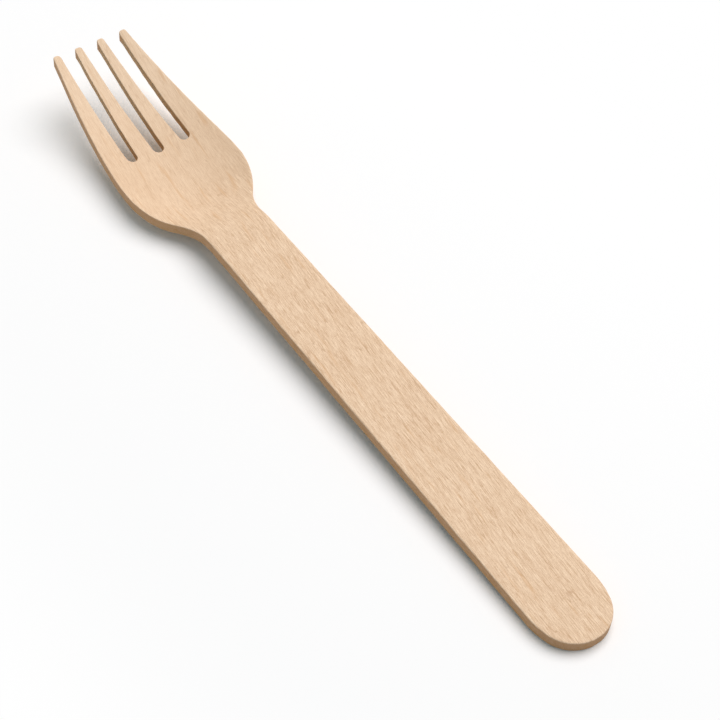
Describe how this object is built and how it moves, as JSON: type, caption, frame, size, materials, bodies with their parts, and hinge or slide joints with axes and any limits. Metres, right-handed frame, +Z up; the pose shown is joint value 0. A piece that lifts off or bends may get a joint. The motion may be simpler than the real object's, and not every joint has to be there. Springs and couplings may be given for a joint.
{
  "type": "disposable wooden fork",
  "caption": "Disposable fork die-cut and hot-pressed from birch veneer, with a flat tapering round-ended handle and a dished, slotted head that curves up to its tips.",
  "frame": {"origin": "on the table under the middle of the fork's length, midway between its long edges", "axes": "+X along the fork from the handle end to the tines, +Y across it to the left as the tines point away, +Z up from the table"},
  "size_m": [0.1598, 0.025, 0.0123],
  "materials": {
    "birch_veneer": "bare, fine-sanded, matt"
  },
  "bodies": {
    "root": {"fork": "birch_veneer"}
  },
  "joints": []
}
